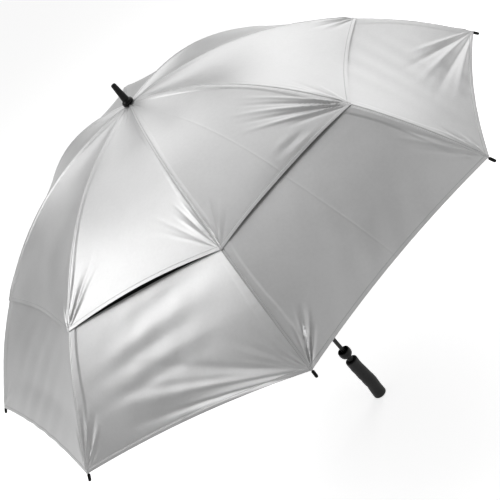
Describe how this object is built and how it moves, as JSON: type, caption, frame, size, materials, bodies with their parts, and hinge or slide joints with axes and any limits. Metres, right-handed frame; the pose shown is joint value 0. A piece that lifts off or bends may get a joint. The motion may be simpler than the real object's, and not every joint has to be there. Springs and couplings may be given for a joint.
{
  "type": "golf umbrella",
  "caption": "Open golf umbrella with a vented double canopy of silver cloth, black ferrule, rib tips, tip cup and rubber grip; the runner slides down to close it.",
  "frame": {"origin": "centre of the grip's flat end, on the shaft's axis", "axes": "+Z along the shaft from the grip to the ferrule; +X along one rib; the finger grooves of the grip face -X"},
  "size_m": [1.3458, 1.3458, 1.0137],
  "materials": {
    "silver_cloth": "satin",
    "rib_fibreglass": "satin",
    "stretcher_black": "satin",
    "shaft_black": "gloss",
    "plastic_gloss_black": "gloss",
    "plastic_black": "matte",
    "steel_wire": "satin",
    "spring_steel": "satin",
    "grip_rubber": "matte"
  },
  "bodies": {
    "shaft": {"shaft_tube": "shaft_black", "ferrule": "plastic_gloss_black", "crown_notch": "plastic_black", "crown_wire": "steel_wire", "tip_cup": "plastic_gloss_black", "neck_collar": "plastic_gloss_black", "grip": "grip_rubber"},
    "runner": {"runner": "plastic_black"},
    "top_catch": {"top_catch": "spring_steel"},
    "bottom_catch": {"bottom_catch": "spring_steel"},
    "rib_1": {"rib_inner_1": "rib_fibreglass", "canopy_top_1": "silver_cloth"},
    "rib_1_end": {"rib_outer_1": "rib_fibreglass", "tip_cap_1": "plastic_gloss_black", "canopy_skirt_1": "silver_cloth"},
    "stretcher_1": {"stretcher_1": "stretcher_black"},
    "rib_2": {"rib_inner_2": "rib_fibreglass", "canopy_top_2": "silver_cloth"},
    "rib_2_end": {"rib_outer_2": "rib_fibreglass", "tip_cap_2": "plastic_gloss_black", "canopy_skirt_2": "silver_cloth"},
    "stretcher_2": {"stretcher_2": "stretcher_black"},
    "rib_3": {"rib_inner_3": "rib_fibreglass", "canopy_top_3": "silver_cloth"},
    "rib_3_end": {"rib_outer_3": "rib_fibreglass", "tip_cap_3": "plastic_gloss_black", "canopy_skirt_3": "silver_cloth"},
    "stretcher_3": {"stretcher_3": "stretcher_black"},
    "rib_4": {"rib_inner_4": "rib_fibreglass", "canopy_top_4": "silver_cloth"},
    "rib_4_end": {"rib_outer_4": "rib_fibreglass", "tip_cap_4": "plastic_gloss_black", "canopy_skirt_4": "silver_cloth"},
    "stretcher_4": {"stretcher_4": "stretcher_black"},
    "rib_5": {"rib_inner_5": "rib_fibreglass", "canopy_top_5": "silver_cloth"},
    "rib_5_end": {"rib_outer_5": "rib_fibreglass", "tip_cap_5": "plastic_gloss_black", "canopy_skirt_5": "silver_cloth"},
    "stretcher_5": {"stretcher_5": "stretcher_black"},
    "rib_6": {"rib_inner_6": "rib_fibreglass", "canopy_top_6": "silver_cloth"},
    "rib_6_end": {"rib_outer_6": "rib_fibreglass", "tip_cap_6": "plastic_gloss_black", "canopy_skirt_6": "silver_cloth"},
    "stretcher_6": {"stretcher_6": "stretcher_black"},
    "rib_7": {"rib_inner_7": "rib_fibreglass", "canopy_top_7": "silver_cloth"},
    "rib_7_end": {"rib_outer_7": "rib_fibreglass", "tip_cap_7": "plastic_gloss_black", "canopy_skirt_7": "silver_cloth"},
    "stretcher_7": {"stretcher_7": "stretcher_black"},
    "rib_8": {"rib_inner_8": "rib_fibreglass", "canopy_top_8": "silver_cloth"},
    "rib_8_end": {"rib_outer_8": "rib_fibreglass", "tip_cap_8": "plastic_gloss_black", "canopy_skirt_8": "silver_cloth"},
    "stretcher_8": {"stretcher_8": "stretcher_black"}
  },
  "joints": [
    {"name": "runner_slide", "type": "slide", "parent": "shaft", "child": "runner", "axis": [0, 0, -1], "range_m": [0, 0.46055]},
    {"name": "top_catch_press", "type": "slide", "parent": "shaft", "child": "top_catch", "axis": [-0.9239, -0.3827, 0], "range_m": [0, 0.003], "stiffness_N_per_m": 400, "springref_m": -0.004},
    {"name": "bottom_catch_press", "type": "slide", "parent": "shaft", "child": "bottom_catch", "axis": [-0.9239, -0.3827, 0], "range_m": [0, 0.003], "stiffness_N_per_m": 400, "springref_m": -0.004},
    {"name": "rib_1_fold", "type": "hinge", "parent": "shaft", "child": "rib_1", "pos_m": [0.011, 0, 0.954], "axis": [0, 1, 0], "range_deg": [0, 69.6], "deforming": ["canopy_top_1"]},
    {"name": "rib_1_flex", "type": "hinge", "parent": "rib_1", "child": "rib_1_end", "pos_m": [0.47635, 0, 0.7882], "axis": [0, 1, 0], "range_deg": [-23.76, 0], "deforming": ["canopy_skirt_1"]},
    {"name": "stretcher_1_fold", "type": "hinge", "parent": "rib_1", "child": "stretcher_1", "pos_m": [0.33094, 0.0049, 0.87955], "axis": [0, 1, 0], "range_deg": [-130.79, 0]},
    {"name": "rib_2_fold", "type": "hinge", "parent": "shaft", "child": "rib_2", "pos_m": [0.00778, 0.00778, 0.954], "axis": [-0.7071, 0.7071, 0], "range_deg": [0, 69.6], "deforming": ["canopy_top_2"]},
    {"name": "rib_2_flex", "type": "hinge", "parent": "rib_2", "child": "rib_2_end", "pos_m": [0.33683, 0.33683, 0.7882], "axis": [-0.7071, 0.7071, 0], "range_deg": [-23.76, 0], "deforming": ["canopy_skirt_2"]},
    {"name": "stretcher_2_fold", "type": "hinge", "parent": "rib_2", "child": "stretcher_2", "pos_m": [0.23054, 0.23747, 0.87955], "axis": [-0.7071, 0.7071, 0], "range_deg": [-130.79, 0]},
    {"name": "rib_3_fold", "type": "hinge", "parent": "shaft", "child": "rib_3", "pos_m": [0, 0.011, 0.954], "axis": [-1, 0, 0], "range_deg": [0, 69.6], "deforming": ["canopy_top_3"]},
    {"name": "rib_3_flex", "type": "hinge", "parent": "rib_3", "child": "rib_3_end", "pos_m": [0, 0.47635, 0.7882], "axis": [-1, 0, 0], "range_deg": [-23.76, 0], "deforming": ["canopy_skirt_3"]},
    {"name": "stretcher_3_fold", "type": "hinge", "parent": "rib_3", "child": "stretcher_3", "pos_m": [-0.0049, 0.33094, 0.87955], "axis": [-1, 0, 0], "range_deg": [-130.79, 0]},
    {"name": "rib_4_fold", "type": "hinge", "parent": "shaft", "child": "rib_4", "pos_m": [-0.00778, 0.00778, 0.954], "axis": [-0.7071, -0.7071, 0], "range_deg": [0, 69.6], "deforming": ["canopy_top_4"]},
    {"name": "rib_4_flex", "type": "hinge", "parent": "rib_4", "child": "rib_4_end", "pos_m": [-0.33683, 0.33683, 0.7882], "axis": [-0.7071, -0.7071, 0], "range_deg": [-23.76, 0], "deforming": ["canopy_skirt_4"]},
    {"name": "stretcher_4_fold", "type": "hinge", "parent": "rib_4", "child": "stretcher_4", "pos_m": [-0.23747, 0.23054, 0.87955], "axis": [-0.7071, -0.7071, 0], "range_deg": [-130.79, 0]},
    {"name": "rib_5_fold", "type": "hinge", "parent": "shaft", "child": "rib_5", "pos_m": [-0.011, 0, 0.954], "axis": [0, -1, 0], "range_deg": [0, 69.6], "deforming": ["canopy_top_5"]},
    {"name": "rib_5_flex", "type": "hinge", "parent": "rib_5", "child": "rib_5_end", "pos_m": [-0.47635, 0, 0.7882], "axis": [0, -1, 0], "range_deg": [-23.76, 0], "deforming": ["canopy_skirt_5"]},
    {"name": "stretcher_5_fold", "type": "hinge", "parent": "rib_5", "child": "stretcher_5", "pos_m": [-0.33094, -0.0049, 0.87955], "axis": [0, -1, 0], "range_deg": [-130.79, 0]},
    {"name": "rib_6_fold", "type": "hinge", "parent": "shaft", "child": "rib_6", "pos_m": [-0.00778, -0.00778, 0.954], "axis": [0.7071, -0.7071, 0], "range_deg": [0, 69.6], "deforming": ["canopy_top_6"]},
    {"name": "rib_6_flex", "type": "hinge", "parent": "rib_6", "child": "rib_6_end", "pos_m": [-0.33683, -0.33683, 0.7882], "axis": [0.7071, -0.7071, 0], "range_deg": [-23.76, 0], "deforming": ["canopy_skirt_6"]},
    {"name": "stretcher_6_fold", "type": "hinge", "parent": "rib_6", "child": "stretcher_6", "pos_m": [-0.23054, -0.23747, 0.87955], "axis": [0.7071, -0.7071, 0], "range_deg": [-130.79, 0]},
    {"name": "rib_7_fold", "type": "hinge", "parent": "shaft", "child": "rib_7", "pos_m": [0, -0.011, 0.954], "axis": [1, 0, 0], "range_deg": [0, 69.6], "deforming": ["canopy_top_7"]},
    {"name": "rib_7_flex", "type": "hinge", "parent": "rib_7", "child": "rib_7_end", "pos_m": [0, -0.47635, 0.7882], "axis": [1, 0, 0], "range_deg": [-23.76, 0], "deforming": ["canopy_skirt_7"]},
    {"name": "stretcher_7_fold", "type": "hinge", "parent": "rib_7", "child": "stretcher_7", "pos_m": [0.0049, -0.33094, 0.87955], "axis": [1, 0, 0], "range_deg": [-130.79, 0]},
    {"name": "rib_8_fold", "type": "hinge", "parent": "shaft", "child": "rib_8", "pos_m": [0.00778, -0.00778, 0.954], "axis": [0.7071, 0.7071, 0], "range_deg": [0, 69.6], "deforming": ["canopy_top_8"]},
    {"name": "rib_8_flex", "type": "hinge", "parent": "rib_8", "child": "rib_8_end", "pos_m": [0.33683, -0.33683, 0.7882], "axis": [0.7071, 0.7071, 0], "range_deg": [-23.76, 0], "deforming": ["canopy_skirt_8"]},
    {"name": "stretcher_8_fold", "type": "hinge", "parent": "rib_8", "child": "stretcher_8", "pos_m": [0.23747, -0.23054, 0.87955], "axis": [0.7071, 0.7071, 0], "range_deg": [-130.79, 0]}
  ],
  "couplings": [
    {"joint": "rib_1_fold", "follows": "runner_slide", "rad_per_m": 2.6368},
    {"joint": "rib_1_flex", "follows": "runner_slide", "rad_per_m": -0.8997},
    {"joint": "stretcher_1_fold", "follows": "runner_slide", "rad_per_m": -4.9556},
    {"joint": "rib_2_fold", "follows": "runner_slide", "rad_per_m": 2.6368},
    {"joint": "rib_2_flex", "follows": "runner_slide", "rad_per_m": -0.8997},
    {"joint": "stretcher_2_fold", "follows": "runner_slide", "rad_per_m": -4.9556},
    {"joint": "rib_3_fold", "follows": "runner_slide", "rad_per_m": 2.6368},
    {"joint": "rib_3_flex", "follows": "runner_slide", "rad_per_m": -0.8997},
    {"joint": "stretcher_3_fold", "follows": "runner_slide", "rad_per_m": -4.9556},
    {"joint": "rib_4_fold", "follows": "runner_slide", "rad_per_m": 2.6368},
    {"joint": "rib_4_flex", "follows": "runner_slide", "rad_per_m": -0.8997},
    {"joint": "stretcher_4_fold", "follows": "runner_slide", "rad_per_m": -4.9556},
    {"joint": "rib_5_fold", "follows": "runner_slide", "rad_per_m": 2.6368},
    {"joint": "rib_5_flex", "follows": "runner_slide", "rad_per_m": -0.8997},
    {"joint": "stretcher_5_fold", "follows": "runner_slide", "rad_per_m": -4.9556},
    {"joint": "rib_6_fold", "follows": "runner_slide", "rad_per_m": 2.6368},
    {"joint": "rib_6_flex", "follows": "runner_slide", "rad_per_m": -0.8997},
    {"joint": "stretcher_6_fold", "follows": "runner_slide", "rad_per_m": -4.9556},
    {"joint": "rib_7_fold", "follows": "runner_slide", "rad_per_m": 2.6368},
    {"joint": "rib_7_flex", "follows": "runner_slide", "rad_per_m": -0.8997},
    {"joint": "stretcher_7_fold", "follows": "runner_slide", "rad_per_m": -4.9556},
    {"joint": "rib_8_fold", "follows": "runner_slide", "rad_per_m": 2.6368},
    {"joint": "rib_8_flex", "follows": "runner_slide", "rad_per_m": -0.8997},
    {"joint": "stretcher_8_fold", "follows": "runner_slide", "rad_per_m": -4.9556}
  ]
}
